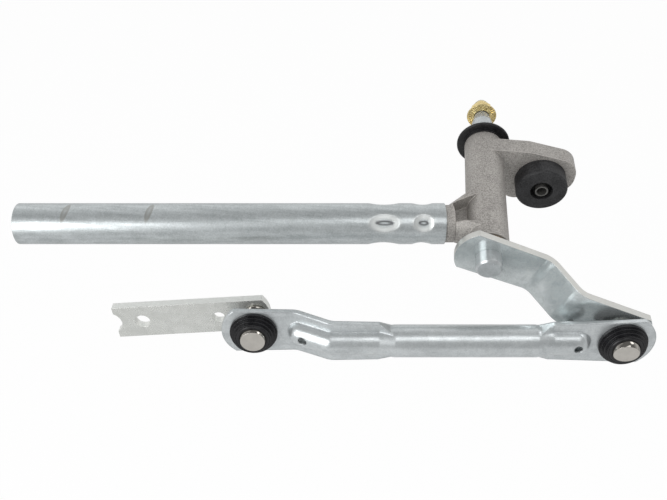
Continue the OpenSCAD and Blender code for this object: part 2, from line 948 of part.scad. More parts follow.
module connecting_rod() {
    hole_r = socket_r + seat_gap;
    color(zinc)
        at_rod()
            translate([0, blade_back, 0])
                difference() {
                    union() {
                        rod_body(0);
                        blade_root(-right_tube);
                        right_blade();
                        mirror([1, 0, 0]) {
                            blade_root(rod_len - left_tube);
                            left_blade();
                        }
                    }
                    rod_body(rod_wall);
                    // Socket holes, then drain holes through both faces of the ridges
                    round_y(hole_r, -rod_r, rod_r);
                    translate([-rod_len, rod_set, 0])
                        round_y(hole_r, -rod_r, rod_r);
                    translate([-right_drain, 0, 0])
                        round_y(drain_d / 2, -2 * rod_r, 2 * rod_r);
                    translate([left_drain - rod_len, 0, 0])
                        round_y(drain_d / 2, -2 * rod_r, 2 * rod_r);
                }
}

// Sub-parts of the drive link

module drive_ball_stud() {
    color(nickel)
        at_drive()
            ball_stud(drive_reach, link_t);
}

// Plan of the drive link: an arc round its stud, a straight bar, a notch in the free end
module link_plan() {
    difference() {
        intersection() {
            translate([-link_len, -link_w / 2])
                square([link_len + link_over, link_w]);
            union() {
                translate([link_over - link_end_r, 0])
                    circle(link_end_r);
                translate([-link_len, -link_w])
                    square([link_len + link_over - link_end_r, 2 * link_w]);
            }
        }
        translate([notch_depth - link_len - notch_r, 0])
            circle(notch_r);
        translate([-outer_hole_at, 0])
            circle(outer_hole_d / 2);
        translate([-inner_hole_at, 0])
            circle(inner_hole_d / 2);
        circle(shank_d / 2 + seat_gap);
    }
}

module drive_link() {
    color(zinc)
        at_drive()
            rotate([0, -link_turn, 0])
                plate_y(drive_reach, drive_reach + link_t)
                    link_plan();
}

carrier_tube();
pivot_housing();
lower_shaft_bush();
upper_shaft_bush();
shaft_seal_ring();
shaft_seal_cap();
rubber_mount();
mount_sleeve();
wiper_shaft();
crank_lever();
lower_thrust_washer();
upper_thrust_washer();
shaft_retaining_ring();
wiper_arm_nut();
crank_ball_stud();
crank_ball_socket();
crank_socket_seal();
connecting_rod();
drive_ball_socket();
drive_socket_seal();
drive_ball_stud();
drive_link();
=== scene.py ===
import math

import bpy
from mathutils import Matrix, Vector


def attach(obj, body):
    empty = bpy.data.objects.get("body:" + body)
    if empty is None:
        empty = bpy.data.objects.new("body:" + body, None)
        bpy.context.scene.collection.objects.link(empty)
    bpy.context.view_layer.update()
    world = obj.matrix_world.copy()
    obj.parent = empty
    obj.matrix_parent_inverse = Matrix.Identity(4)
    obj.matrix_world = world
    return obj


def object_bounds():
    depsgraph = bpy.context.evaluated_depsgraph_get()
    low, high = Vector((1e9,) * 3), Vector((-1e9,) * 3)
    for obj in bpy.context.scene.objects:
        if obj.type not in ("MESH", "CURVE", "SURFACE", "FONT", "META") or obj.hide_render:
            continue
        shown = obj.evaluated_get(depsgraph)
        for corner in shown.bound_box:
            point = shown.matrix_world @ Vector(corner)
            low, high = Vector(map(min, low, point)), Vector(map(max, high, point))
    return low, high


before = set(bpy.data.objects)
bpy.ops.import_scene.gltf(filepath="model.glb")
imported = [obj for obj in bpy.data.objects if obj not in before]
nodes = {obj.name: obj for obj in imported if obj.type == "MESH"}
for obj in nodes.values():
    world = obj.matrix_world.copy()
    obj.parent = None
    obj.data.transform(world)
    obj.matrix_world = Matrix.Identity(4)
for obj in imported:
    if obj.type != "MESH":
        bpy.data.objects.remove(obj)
cad_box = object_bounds()


# Carrier tube
# Drawn steel tube with bright zinc plating and a fine mottled spangle, open at its left end.
# It is pushed over the casting's spigot and pressed into it by two rings of crimps.

def shader_group(name, inputs, outputs):
    """An empty shader group with float and vector sockets."""
    kinds = {"value": "NodeSocketFloat", "vector": "NodeSocketVector"}
    tree = bpy.data.node_groups.new(name, "ShaderNodeTree")
    for label, kind, start in inputs:
        socket = tree.interface.new_socket(label, in_out="INPUT", socket_type=kinds[kind])
        if start is not None:
            socket.default_value = start
    for label, kind in outputs:
        tree.interface.new_socket(label, in_out="OUTPUT", socket_type=kinds[kind])
    return tree, tree.nodes.new("NodeGroupInput"), tree.nodes.new("NodeGroupOutput")


def put(tree, kind, values=None, **settings):
    """A node with its settings and its plain socket values."""
    node = tree.nodes.new(kind)
    for label, value in settings.items():
        setattr(node, label, value)
    for label, value in (values or {}).items():
        node.inputs[label].default_value = value
    return node


def join(tree, *pairs):
    """Links each output to the input beside it."""
    for start, end in pairs:
        tree.links.new(start, end)


def spangle_group():
    """Zinc's mottled crystals, cloudy stains and drawn streaks as a tone, with a fine grain."""
    tree, given, result = shader_group(
        "zinc_spangle",
        [("Place", "vector", None), ("Along", "vector", None), ("Crystals", "value", 260.0),
         ("Clouds", "value", 40.0), ("Streaks", "value", 0.3)],
        [("Tone", "value"), ("Height", "value")])
    crystals = put(tree, "ShaderNodeTexVoronoi", {"Randomness": 1.0})
    clouds = put(tree, "ShaderNodeTexNoise", {"Detail": 4.0, "Roughness": 0.6})
    streaks = put(tree, "ShaderNodeTexNoise", {"Scale": 420.0, "Detail": 3.0})
    grain = put(tree, "ShaderNodeTexNoise", {"Scale": 1100.0, "Detail": 2.0})
    pale = put(tree, "ShaderNodeSeparateColor")
    mottle = put(tree, "ShaderNodeMix", {"Factor": 0.75}, data_type="FLOAT")
    drawn = put(tree, "ShaderNodeMix", data_type="FLOAT")
    fine = put(tree, "ShaderNodeMix", {"Factor": 0.35}, data_type="FLOAT")
    join(tree,
         (given.outputs["Place"], crystals.inputs["Vector"]),
         (given.outputs["Crystals"], crystals.inputs["Scale"]),
         (given.outputs["Place"], clouds.inputs["Vector"]),
         (given.outputs["Clouds"], clouds.inputs["Scale"]),
         (given.outputs["Along"], streaks.inputs["Vector"]),
         (given.outputs["Place"], grain.inputs["Vector"]),
         (crystals.outputs["Color"], pale.inputs["Color"]),
         (pale.outputs["Red"], mottle.inputs["A"]), (clouds.outputs["Fac"], mottle.inputs["B"]),
         (given.outputs["Streaks"], drawn.inputs["Factor"]),
         (mottle.outputs["Result"], drawn.inputs["A"]), (streaks.outputs["Fac"], drawn.inputs["B"]),
         (drawn.outputs["Result"], fine.inputs["A"]), (grain.outputs["Fac"], fine.inputs["B"]),
         (fine.outputs["Result"], result.inputs["Tone"]),
         (grain.outputs["Fac"], result.inputs["Height"]))
    return tree


zinc_spangle = spangle_group()


def new_material(name):
    """A material with its Principled shader, its tree and its object coordinates."""
    material = bpy.data.materials.new(name)
    material.use_nodes = True
    tree = material.node_tree
    return material, tree, tree.nodes["Principled BSDF"], tree.nodes.new("ShaderNodeTexCoord")


def plated_steel(name, dark, light, rough, crystals, clouds, grain, turn=(0.0, 0.0, 0.0), streaks=0.3,
                 edge=0.0004, metal=0.55):
    """Bright plating whose tone and gloss follow the spangle; turn lays its streaks along the piece."""
    material, tree, shader, place = new_material(name)
    shader.inputs["Metallic"].default_value = metal
    lay = put(tree, "ShaderNodeMapping", {"Rotation": turn, "Scale": (0.04, 1.0, 1.0)})
    spread = put(tree, "ShaderNodeMapRange", {"From Min": 0.27, "From Max": 0.73})
    spangle = put(tree, "ShaderNodeGroup", node_tree=zinc_spangle)
    for label, value in (("Crystals", crystals), ("Clouds", clouds), ("Streaks", streaks)):
        spangle.inputs[label].default_value = value
    colour = put(tree, "ShaderNodeMix", {"A": (*dark, 1.0), "B": (*light, 1.0)}, data_type="RGBA")
    gloss = put(tree, "ShaderNodeMapRange", {"To Min": rough[1], "To Max": rough[0]})
    rounded = put(tree, "ShaderNodeBevel", {"Radius": edge}, samples=6)
    relief = put(tree, "ShaderNodeBump", {"Strength": grain, "Distance": 0.0002})
    join(tree,
         (place.outputs["Object"], spangle.inputs["Place"]),
         (place.outputs["Object"], lay.inputs["Vector"]),
         (lay.outputs["Vector"], spangle.inputs["Along"]),
         (spangle.outputs["Tone"], spread.inputs["Value"]),
         (spread.outputs["Result"], colour.inputs["Factor"]),
         (colour.outputs["Result"], shader.inputs["Base Color"]),
         (spread.outputs["Result"], gloss.inputs["Value"]),
         (gloss.outputs["Result"], shader.inputs["Roughness"]),
         (spangle.outputs["Height"], relief.inputs["Height"]),
         (rounded.outputs["Normal"], relief.inputs["Normal"]),
         (relief.outputs["Normal"], shader.inputs["Normal"]))
    return material


def dress(material, *names):
    """Gives CAD nodes one material."""
    for name in names:
        mesh = nodes[name].data
        mesh.materials.clear()
        mesh.materials.append(material)


def tube_mark_group():
    """How far a point lies from the middle of an oval mark on a tube along X, 1 at the oval's edge.

    The oval repeats round the tube.
    """
    tree, given, result = shader_group(
        "tube_mark",
        [("Place", "vector", None), ("Along", "value", 0.0), ("Round", "value", 0.0),
         ("Repeat", "value", math.tau), ("Slant", "value", 0.0), ("Length", "value", 0.01),
         ("Width", "value", 0.01), ("Radius", "value", 0.01)],
        [("Reach", "value")])
    split = put(tree, "ShaderNodeSeparateXYZ")
    angle = put(tree, "ShaderNodeMath", operation="ARCTAN2")
    from_mid = put(tree, "ShaderNodeMath", operation="SUBTRACT")
    half = put(tree, "ShaderNodeMath", operation="MULTIPLY")
    half.inputs[1].default_value = 0.5
    low_half = put(tree, "ShaderNodeMath", operation="MULTIPLY")
    low_half.inputs[1].default_value = -0.5
    near = put(tree, "ShaderNodeMath", operation="WRAP")
    arc = put(tree, "ShaderNodeMath", operation="MULTIPLY")
    shift = put(tree, "ShaderNodeMath", operation="MULTIPLY")
    ahead = put(tree, "ShaderNodeMath", operation="SUBTRACT")
    slid = put(tree, "ShaderNodeMath", operation="SUBTRACT")
    across = put(tree, "ShaderNodeMath", operation="DIVIDE")
    along = put(tree, "ShaderNodeMath", operation="DIVIDE")
    both = put(tree, "ShaderNodeCombineXYZ")
    reach = put(tree, "ShaderNodeVectorMath", operation="LENGTH")
    join(tree,
         (given.outputs["Place"], split.inputs["Vector"]),
         (split.outputs["Z"], angle.inputs[0]), (split.outputs["Y"], angle.inputs[1]),
         (angle.outputs["Value"], from_mid.inputs[0]), (given.outputs["Round"], from_mid.inputs[1]),
         (given.outputs["Repeat"], half.inputs[0]), (given.outputs["Repeat"], low_half.inputs[0]),
         (from_mid.outputs["Value"], near.inputs[0]), (half.outputs["Value"], near.inputs[1]),
         (low_half.outputs["Value"], near.inputs[2]),
         (near.outputs["Value"], arc.inputs[0]), (given.outputs["Radius"], arc.inputs[1]),
         (arc.outputs["Value"], shift.inputs[0]), (given.outputs["Slant"], shift.inputs[1]),
         (split.outputs["X"], ahead.inputs[0]), (given.outputs["Along"], ahead.inputs[1]),
         (ahead.outputs["Value"], slid.inputs[0]), (shift.outputs["Value"], slid.inputs[1]),
         (slid.outputs["Value"], along.inputs[0]), (given.outputs["Length"], along.inputs[1]),
         (arc.outputs["Value"], across.inputs[0]), (given.outputs["Width"], across.inputs[1]),
         (along.outputs["Value"], both.inputs["X"]), (across.outputs["Value"], both.inputs["Y"]),
         (both.outputs["Vector"], reach.inputs[0]), (reach.outputs["Value"], result.inputs["Reach"]))
    return tree


tube_mark = tube_mark_group()


def mark_tube(material, start, turn, marks, rim, tint, rough):
    """Tints oval rings on a plated tube.

    rim gives where a ring's inner edge starts and is full, and where its outer edge is full and ends.
    """
    inner_start, inner_full, outer_full, outer_end = rim
    tree = material.node_tree
    shader = tree.nodes["Principled BSDF"]
    place = next(n for n in tree.nodes if n.type == "TEX_COORD")
    local = put(tree, "ShaderNodeMapping", {"Location": start, "Rotation": turn}, vector_type="TEXTURE")
    join(tree, (place.outputs["Object"], local.inputs["Vector"]))
    for values in marks:
        oval = put(tree, "ShaderNodeGroup", node_tree=tube_mark)
        for label, value in values.items():
            oval.inputs[label].default_value = value
        ring = put(tree, "ShaderNodeMapRange",
                   {"From Min": outer_end, "From Max": outer_full}, clamp=True)
        core = put(tree, "ShaderNodeMapRange",
                   {"From Min": inner_start, "From Max": inner_full}, clamp=True)
        amount = put(tree, "ShaderNodeMath", operation="MULTIPLY")
        colour = put(tree, "ShaderNodeMix", {"B": (*tint, 1.0)}, data_type="RGBA")
        gloss = put(tree, "ShaderNodeMix", {"B": rough}, data_type="FLOAT")
        join(tree,
             (local.outputs["Vector"], oval.inputs["Place"]),
             (oval.outputs["Reach"], ring.inputs["Value"]),
             (oval.outputs["Reach"], core.inputs["Value"]),
             (ring.outputs["Result"], amount.inputs[0]), (core.outputs["Result"], amount.inputs[1]),
             (amount.outputs["Value"], colour.inputs["Factor"]),
             (amount.outputs["Value"], gloss.inputs["Factor"]),
             (shader.inputs["Base Color"].links[0].from_socket, colour.inputs["A"]),
             (shader.inputs["Roughness"].links[0].from_socket, gloss.inputs["A"]))
        join(tree,
             (colour.outputs["Result"], shader.inputs["Base Color"]),
             (gloss.outputs["Result"], shader.inputs["Roughness"]))


shaft_x, shaft_z = -0.0385, 0.0096
tube_splay = math.radians(6.2)
tube_start = (shaft_x, -0.077, shaft_z)
tube_turn = (0.0, 0.0, math.pi + tube_splay)
tube_radius = 0.0125
crimp_places = (0.0631, 0.0399)
crimp_lengths, crimp_width = (0.0093, 0.0064), 0.0056
slot_lengths, slot_width = (0.0055, 0.0030), 0.0015
dent_shade_places = (0.2535, 0.2035)
tube_zinc = plated_steel(
    "tube_zinc", dark=(0.31, 0.336, 0.342), light=(0.655, 0.695, 0.705), rough=(0.30, 0.38),
    crystals=420.0, clouds=70.0, grain=0.16, turn=(0.0, 0.0, -tube_splay), streaks=0.6, edge=0.0006,
    metal=0.66)
crimps = {"Round": math.radians(47.0), "Repeat": math.radians(90.0), "Radius": tube_radius}
# The pale oval ring round each crimp is a painted highlight on the crimp's dished rim.
mark_tube(
    tube_zinc, tube_start, tube_turn,
    [{**crimps, "Along": along, "Length": length, "Width": crimp_width}
     for along, length in zip(crimp_places, crimp_lengths)],
    rim=(0.3, 0.75, 0.72, 1.2), tint=(0.72, 0.74, 0.73), rough=0.28)
# The dark oval in each crimp's slot is painted shade in the slot's recess.
mark_tube(
    tube_zinc, tube_start, tube_turn,
    [{**crimps, "Along": along, "Length": length, "Width": slot_width}
     for along, length in zip(crimp_places, slot_lengths)],
    rim=(0.2, 0.7, 0.85, 1.15), tint=(0.16, 0.165, 0.17), rough=0.4)
# The two dents on the tube's top have no geometry here: they are painted shade, darker ovals in the plating.
dent_shades = {"Round": math.radians(80.0), "Slant": -0.2, "Length": 0.0018, "Width": 0.0062,
         "Radius": tube_radius}
mark_tube(
    tube_zinc, tube_start, tube_turn, [{**dent_shades, "Along": along} for along in dent_shade_places],
    rim=(-0.5, 0.9, 0.9, 1.25), tint=(0.34, 0.345, 0.33), rough=0.36)
dress(tube_zinc, "carrier_tube")


# Pivot housing
# Die-cast aluminium: bearing sleeve, pocketed arm, spigot in the tube and mounting ear in one piece.
# Its skin keeps the fine speckle of the mould and the mould's parting line along the arm.

def cast_metal(name, dark, light, seam=None):
    """Die-cast skin: fine speckle, a little relief, and softened edges with a painted highlight along them.

    seam gives the height of a raised parting line and how far along X it runs.
    """
    material, tree, shader, place = new_material(name)
    shader.inputs["Metallic"].default_value = 0.4
    speckle = put(tree, "ShaderNodeTexNoise", {"Scale": 1250.0, "Detail": 4.0, "Roughness": 0.75})
    flow = put(tree, "ShaderNodeTexNoise", {"Scale": 90.0, "Detail": 3.0})
    tone = put(tree, "ShaderNodeMix", {"Factor": 0.1}, data_type="FLOAT")
    spread = put(tree, "ShaderNodeMapRange", {"From Min": 0.40, "From Max": 0.60})
    colour = put(tree, "ShaderNodeMix", {"A": (*dark, 1.0), "B": (*light, 1.0)}, data_type="RGBA")
    gloss = put(tree, "ShaderNodeMapRange", {"To Min": 0.58, "To Max": 0.42})
    rounded = put(tree, "ShaderNodeBevel", {"Radius": 0.0009}, samples=6)
    relief = put(tree, "ShaderNodeBump", {"Strength": 0.45, "Distance": 0.0003})
    # Paler wherever the bevel bends the normal: a painted highlight along the edges.
    face = put(tree, "ShaderNodeNewGeometry")
    bent = put(tree, "ShaderNodeVectorMath", operation="DOT_PRODUCT")
    edge_highlight = put(tree, "ShaderNodeMapRange",
               {"From Min": 0.985, "From Max": 0.8, "To Max": 0.8}, clamp=True)
    edge_highlight_colour = [min(1.0, 1.5 * c) for c in light]
    edge_highlighted = put(tree, "ShaderNodeMix", {"B": (*edge_highlight_colour, 1.0)}, data_type="RGBA")
    join(tree,
         (place.outputs["Object"], speckle.inputs["Vector"]),
         (place.outputs["Object"], flow.inputs["Vector"]),
         (speckle.outputs["Fac"], tone.inputs["A"]), (flow.outputs["Fac"], tone.inputs["B"]),
         (tone.outputs["Result"], spread.inputs["Value"]),
         (spread.outputs["Result"], colour.inputs["Factor"]),
         (rounded.outputs["Normal"], bent.inputs[0]), (face.outputs["Normal"], bent.inputs[1]),
         (bent.outputs["Value"], edge_highlight.inputs["Value"]),
         (edge_highlight.outputs["Result"], edge_highlighted.inputs["Factor"]),
         (colour.outputs["Result"], edge_highlighted.inputs["A"]),
         (edge_highlighted.outputs["Result"], shader.inputs["Base Color"]),
         (flow.outputs["Fac"], gloss.inputs["Value"]),
         (gloss.outputs["Result"], shader.inputs["Roughness"]),
         (speckle.outputs["Fac"], relief.inputs["Height"]),
         (rounded.outputs["Normal"], relief.inputs["Normal"]),
         (relief.outputs["Normal"], shader.inputs["Normal"]))
    if seam is not None:
        height, end = seam
        fade = 0.002
        split = put(tree, "ShaderNodeSeparateXYZ")
        off = put(tree, "ShaderNodeMath", operation="SUBTRACT")
        off.inputs[1].default_value = height
        away = put(tree, "ShaderNodeMath", operation="ABSOLUTE")
        ridge = put(tree, "ShaderNodeMapRange", {"From Min": 0.0006, "From Max": 0.0}, clamp=True)
        arm = put(tree, "ShaderNodeMapRange",
                  {"From Min": end + fade, "From Max": end - fade}, clamp=True)
        both = put(tree, "ShaderNodeMath", operation="MULTIPLY")
        fin = put(tree, "ShaderNodeBump", {"Strength": 0.9, "Distance": 0.0004})
        join(tree,
             (place.outputs["Object"], split.inputs["Vector"]), (split.outputs["Z"], off.inputs[0]),
             (off.outputs["Value"], away.inputs[0]), (away.outputs["Value"], ridge.inputs["Value"]),
             (split.outputs["X"], arm.inputs["Value"]), (ridge.outputs["Result"], both.inputs[0]),
             (arm.outputs["Result"], both.inputs[1]), (both.outputs["Value"], fin.inputs["Height"]),
             (relief.outputs["Normal"], fin.inputs["Normal"]),
             (fin.outputs["Normal"], shader.inputs["Normal"]))
    return material


seam_end = -0.051
dress(cast_metal("housing_casting", dark=(0.215, 0.204, 0.191), light=(0.455, 0.434, 0.409),
                 seam=(shaft_z, seam_end)), "pivot_housing")


# Shaft bushes and lower washer
# Sintered bronze bushes pressed into both ends of the sleeve, and the washer behind the lever.
# They are hidden but for a thin edge, brown and slightly oily.

dress(cast_metal("sintered_bronze", dark=(0.16, 0.11, 0.06), light=(0.36, 0.26, 0.15)),
      "lower_shaft_bush", "upper_shaft_bush", "lower_thrust_washer")


# Rubber mount and spacer sleeve
# Moulded black rubber buffer snapped into the ear, with a plain zinc-plated tube through it.
# The bolt that holds the linkage to the body clamps this tube.

def black_moulding(name, dark, light, rough, grain=0.25):
    """Black rubber or plastic with a faint cloudy bloom and fine pores."""
    material, tree, shader, place = new_material(name)
    shader.inputs["Specular IOR Level"].default_value = 0.4
    bloom = put(tree, "ShaderNodeTexNoise", {"Scale": 140.0, "Detail": 5.0})
    pores = put(tree, "ShaderNodeTexNoise", {"Scale": 1000.0, "Detail": 3.0})
    tone = put(tree, "ShaderNodeMix", {"Factor": 0.6}, data_type="FLOAT")
    spread = put(tree, "ShaderNodeMapRange", {"From Min": 0.38, "From Max": 0.62})
    colour = put(tree, "ShaderNodeMix", {"A": (*dark, 1.0), "B": (*light, 1.0)}, data_type="RGBA")
    gloss = put(tree, "ShaderNodeMapRange", {"To Min": rough[0], "To Max": rough[1]})
    rounded = put(tree, "ShaderNodeBevel", {"Radius": 0.0005}, samples=6)
    relief = put(tree, "ShaderNodeBump", {"Strength": grain, "Distance": 0.0001})
    join(tree,
         (place.outputs["Object"], bloom.inputs["Vector"]),
         (place.outputs["Object"], pores.inputs["Vector"]),
         (bloom.outputs["Fac"], tone.inputs["A"]), (pores.outputs["Fac"], tone.inputs["B"]),
         (tone.outputs["Result"], spread.inputs["Value"]),
         (spread.outputs["Result"], colour.inputs["Factor"]),
         (colour.outputs["Result"], shader.inputs["Base Color"]),
         (bloom.outputs["Fac"], gloss.inputs["Value"]),
         (gloss.outputs["Result"], shader.inputs["Roughness"]),
         (pores.outputs["Fac"], relief.inputs["Height"]),
         (rounded.outputs["Normal"], relief.inputs["Normal"]),
         (relief.outputs["Normal"], shader.inputs["Normal"]))
    return material


dress(black_moulding("mount_rubber", dark=(0.006, 0.006, 0.007), light=(0.038, 0.038, 0.040),
                     rough=(0.55, 0.7), grain=0.8), "rubber_mount")
# The spacer sleeve's zinc is painted nearly black: painted shade inside the rubber mount's hole.
dress(plated_steel("shaded_sleeve_zinc", dark=(0.05, 0.05, 0.048), light=(0.18, 0.176, 0.168),
                   rough=(0.35, 0.5), crystals=600.0, clouds=120.0, grain=0.15, edge=0.0002),
      "mount_sleeve")


# Wiper shaft
# Turned steel shaft, zinc-plated, with a knurled cone for the wiper arm and an M8 thread above it.
# The knurl is a ring of rolled ridges; the thread's crests show above the nut.

shaft_zinc = plated_steel(
    "shaft_zinc", dark=(0.35, 0.372, 0.378), light=(0.58, 0.61, 0.618), rough=(0.18, 0.3),
    crystals=420.0, clouds=80.0, grain=0.08)
dress(shaft_zinc, "wiper_shaft")


def geometry_group(name, inputs):
    """An empty geometry group with named inputs and one geometry output."""
    tree = bpy.data.node_groups.new(name, "GeometryNodeTree")
    for label, kind in inputs:
        tree.interface.new_socket(label, in_out="INPUT", socket_type=kind)
    tree.interface.new_socket("Geometry", in_out="OUTPUT", socket_type="NodeSocketGeometry")
    return tree, tree.nodes.new("NodeGroupInput"), tree.nodes.new("NodeGroupOutput")


def grow(name, tree, values, body):
    """Runs a geometry group with these values and keeps its mesh as a piece that moves with body."""
    piece = bpy.data.objects.new(name, bpy.data.meshes.new(name))
    bpy.context.scene.collection.objects.link(piece)
    form = piece.modifiers.new("form", "NODES")
    form.node_group = tree
    for item in tree.interface.items_tree:
        if item.item_type == "SOCKET" and item.in_out == "INPUT":
            form[item.identifier] = values[item.name]
    bpy.context.view_layer.update()
    shown = piece.evaluated_get(bpy.context.evaluated_depsgraph_get())
    grown = bpy.data.meshes.new_from_object(shown)
    piece.modifiers.clear()
    piece.data = grown
    grown.name = name
    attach(piece, body)


def ridge_ring(name, material):
    """Geometry group: equal ridges set round an axis along Y."""
    tree, given, result = geometry_group(name, [
        ("Count", "NodeSocketInt"), ("Size", "NodeSocketVector"), ("Roll", "NodeSocketFloat"),
        ("Lean", "NodeSocketFloat"), ("Radius", "NodeSocketFloat"), ("Centre", "NodeSocketVector")])
    ridge = put(tree, "GeometryNodeMeshCube")
    rolled = put(tree, "GeometryNodeTransform")
    roll = put(tree, "ShaderNodeCombineXYZ")
    placed = put(tree, "GeometryNodeTransform")
    lean = put(tree, "ShaderNodeCombineXYZ")
    out = put(tree, "ShaderNodeCombineXYZ")
    points = put(tree, "GeometryNodeMeshLine", {"Offset": (0.0, 0.0, 0.0)})
    copies = put(tree, "GeometryNodeInstanceOnPoints")
    index = put(tree, "GeometryNodeInputIndex")
    share = put(tree, "ShaderNodeMath", operation="DIVIDE")
    angle = put(tree, "ShaderNodeMath", operation="MULTIPLY")
    angle.inputs[1].default_value = math.tau
    turn = put(tree, "ShaderNodeCombineXYZ")
    turned = put(tree, "GeometryNodeRotateInstances", {"Local Space": False})
    moved = put(tree, "GeometryNodeTransform")
    real = put(tree, "GeometryNodeRealizeInstances")
    painted = put(tree, "GeometryNodeSetMaterial", {"Material": material})
    join(tree,
         (given.outputs["Size"], ridge.inputs["Size"]),
         (ridge.outputs["Mesh"], rolled.inputs["Geometry"]),
         (given.outputs["Roll"], roll.inputs["Y"]), (roll.outputs["Vector"], rolled.inputs["Rotation"]),
         (rolled.outputs["Geometry"], placed.inputs["Geometry"]),
         (given.outputs["Lean"], lean.inputs["X"]), (lean.outputs["Vector"], placed.inputs["Rotation"]),
         (given.outputs["Radius"], out.inputs["Z"]),
         (out.outputs["Vector"], placed.inputs["Translation"]),
         (given.outputs["Count"], points.inputs["Count"]),
         (points.outputs["Mesh"], copies.inputs["Points"]),
         (placed.outputs["Geometry"], copies.inputs["Instance"]),
         (index.outputs["Index"], share.inputs[0]), (given.outputs["Count"], share.inputs[1]),
         (share.outputs["Value"], angle.inputs[0]), (angle.outputs["Value"], turn.inputs["Y"]),
         (copies.outputs["Instances"], turned.inputs["Instances"]),
         (turn.outputs["Vector"], turned.inputs["Rotation"]),
         (turned.outputs["Instances"], moved.inputs["Geometry"]),
         (given.outputs["Centre"], moved.inputs["Translation"]),
         (moved.outputs["Geometry"], real.inputs["Geometry"]),
         (real.outputs["Geometry"], painted.inputs["Geometry"]),
         (painted.outputs["Geometry"], result.inputs["Geometry"]))
    return tree


cone_low, cone_high = 0.022, 0.031
cone_radii = 0.00655, 0.0045
cone_lean = math.atan2(cone_radii[0] - cone_radii[1], cone_high - cone_low)
ridge_side, ridge_rise, bare_ends = 0.0005, 0.00005, 0.001
# The knurl's ridges get a far paler copy of the shaft's zinc: a painted highlight on the ridges.
lit_knurl_zinc = plated_steel(
    "lit_knurl_zinc", dark=(0.66, 0.68, 0.685), light=(0.84, 0.86, 0.865), rough=(0.2, 0.3),
    crystals=700.0, clouds=120.0, grain=0.1)
grow("cone_knurl", ridge_ring("knurl_ring", lit_knurl_zinc), {
    "Count": 44,
    "Size": (ridge_side, (cone_high - cone_low) / math.cos(cone_lean) - bare_ends, ridge_side),
    "Roll": math.radians(45.0),
    "Lean": -cone_lean,
    "Radius": sum(cone_radii) / 2 + ridge_rise,
    "Centre": (shaft_x, (cone_low + cone_high) / 2, shaft_z),
}, "crank")


def thread_turns(name, material):
    """Geometry group: a round crest wound along Y."""
    tree, given, result = geometry_group(name, [
        ("Turns", "NodeSocketFloat"), ("Radius", "NodeSocketFloat"), ("Height", "NodeSocketFloat"),
        ("Crest", "NodeSocketFloat"), ("Start", "NodeSocketVector")])
    winding = put(tree, "GeometryNodeCurveSpiral", {"Resolution": 40})
    crest = put(tree, "GeometryNodeCurvePrimitiveCircle", {"Resolution": 8})
    swept = put(tree, "GeometryNodeCurveToMesh", {"Fill Caps": True})
    moved = put(tree, "GeometryNodeTransform", {"Rotation": (math.radians(-90.0), 0.0, 0.0)})
    real = put(tree, "GeometryNodeRealizeInstances")
    painted = put(tree, "GeometryNodeSetMaterial", {"Material": material})
    join(tree,
         (given.outputs["Turns"], winding.inputs["Rotations"]),
         (given.outputs["Radius"], winding.inputs["Start Radius"]),
         (given.outputs["Radius"], winding.inputs["End Radius"]),
         (given.outputs["Height"], winding.inputs["Height"]),
         (given.outputs["Crest"], crest.inputs["Radius"]),
         (winding.outputs["Curve"], swept.inputs["Curve"]),
         (crest.outputs["Curve"], swept.inputs["Profile Curve"]),
         (swept.outputs["Mesh"], moved.inputs["Geometry"]),
         (given.outputs["Start"], moved.inputs["Translation"]),
         (moved.outputs["Geometry"], real.inputs["Geometry"]),
         (real.outputs["Geometry"], painted.inputs["Geometry"]),
         (painted.outputs["Geometry"], result.inputs["Geometry"]))
    return tree


thread_low = 0.0427
grow("tip_thread", thread_turns("thread_crest", shaft_zinc), {
    "Turns": 2.0,
    "Radius": 0.0039,
    "Height": 0.0025,
    "Crest": 0.00032,
    "Start": (shaft_x, thread_low, shaft_z),
}, "crank")


# Crank lever
# Blanked from thick steel plate, joggled towards the rod, riveted on the shaft's shoulder, zinc-plated.
# Its sheared edges are warmer and duller than its faces.

def sheared_edge_group():
    """1 on a plate's sheared edge and 0 on its faces, from the surface's own direction."""
    tree, given, result = shader_group(
        "sheared_edge", [("Direction", "vector", None), ("Face", "vector", None)], [("Edge", "value")])
    dot = put(tree, "ShaderNodeVectorMath", operation="DOT_PRODUCT")
    size = put(tree, "ShaderNodeMath", operation="ABSOLUTE")
    edge = put(tree, "ShaderNodeMapRange", {"From Min": 0.45, "From Max": 0.3}, clamp=True)
    join(tree,
         (given.outputs["Direction"], dot.inputs[0]), (given.outputs["Face"], dot.inputs[1]),
         (dot.outputs["Value"], size.inputs[0]), (size.outputs["Value"], edge.inputs["Value"]),
         (edge.outputs["Result"], result.inputs["Edge"]))
    return tree


sheared_edge = sheared_edge_group()


